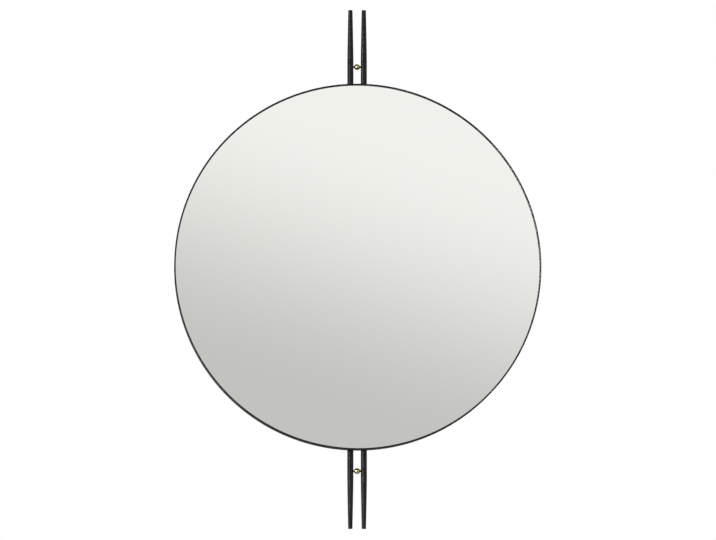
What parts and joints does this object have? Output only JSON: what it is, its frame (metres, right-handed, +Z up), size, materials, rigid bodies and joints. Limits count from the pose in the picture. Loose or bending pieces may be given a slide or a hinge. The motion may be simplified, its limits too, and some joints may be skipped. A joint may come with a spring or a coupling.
{
  "type": "round wall mirror",
  "caption": "Round wall mirror in a thin black ring, carried by tapered vertical rods that brass beads hold apart, hung on hooked wall brackets it lifts off.",
  "frame": {"origin": "on the wall, behind the middle of the glass, at the centre of the four wall screws", "axes": "+Z up along the rods, +X to the right as the mirror is looked at, +Y into the wall, so the glass faces -Y"},
  "size_m": [0.7999, 0.0673, 1.14],
  "materials": {
    "black_powder_coat": "fine-textured satin black powder coat",
    "silvered_glass": "polished, silvered behind",
    "polished_brass": "turned and polished",
    "black_rubber": "matt",
    "safety_film": "smooth film",
    "foam_tape": "closed-cell foam",
    "fibreboard": "dyed and sealed medium-density fibreboard",
    "zinc_plated_steel": "bright zinc plate",
    "black_screw_steel": "black oxide",
    "bare_steel": "drawn bar, lightly oiled",
    "galvanised_steel": "pressed and galvanised"
  },
  "bodies": {
    "wall_brackets": {"wall_bracket_upper": "galvanised_steel", "wall_bracket_lower": "galvanised_steel"},
    "mirror": {"frame_ring": "black_powder_coat", "edge_seal": "black_rubber", "mirror_glass": "silvered_glass", "safety_film": "safety_film", "mounting_tape": "foam_tape", "backing_board": "fibreboard", "board_screws": "zinc_plated_steel", "cross_rail_upper": "black_powder_coat", "cross_rail_lower": "black_powder_coat", "rail_screws_upper": "black_screw_steel", "rail_screws_lower": "black_screw_steel", "rod_left": "black_powder_coat", "rod_right": "black_powder_coat", "rod_tip_upper_left": "black_powder_coat", "rod_tip_upper_right": "black_powder_coat", "rod_tip_lower_left": "black_powder_coat", "rod_tip_lower_right": "black_powder_coat", "brass_bead_upper": "polished_brass", "brass_bead_lower": "polished_brass", "hanger_bar_upper": "bare_steel", "hanger_bar_lower": "bare_steel", "rod_saddles_upper": "black_powder_coat", "rod_saddles_lower": "black_powder_coat", "saddle_washers_upper": "zinc_plated_steel", "saddle_washers_lower": "zinc_plated_steel", "rod_screws_upper": "zinc_plated_steel", "rod_screws_lower": "zinc_plated_steel", "rail_nuts_upper": "zinc_plated_steel", "rail_nuts_lower": "zinc_plated_steel"}
  },
  "joints": [
    {"name": "lift_off", "type": "slide", "parent": "wall_brackets", "child": "mirror", "axis": [0, 0, 1], "range_m": [0, 0.014]}
  ]
}
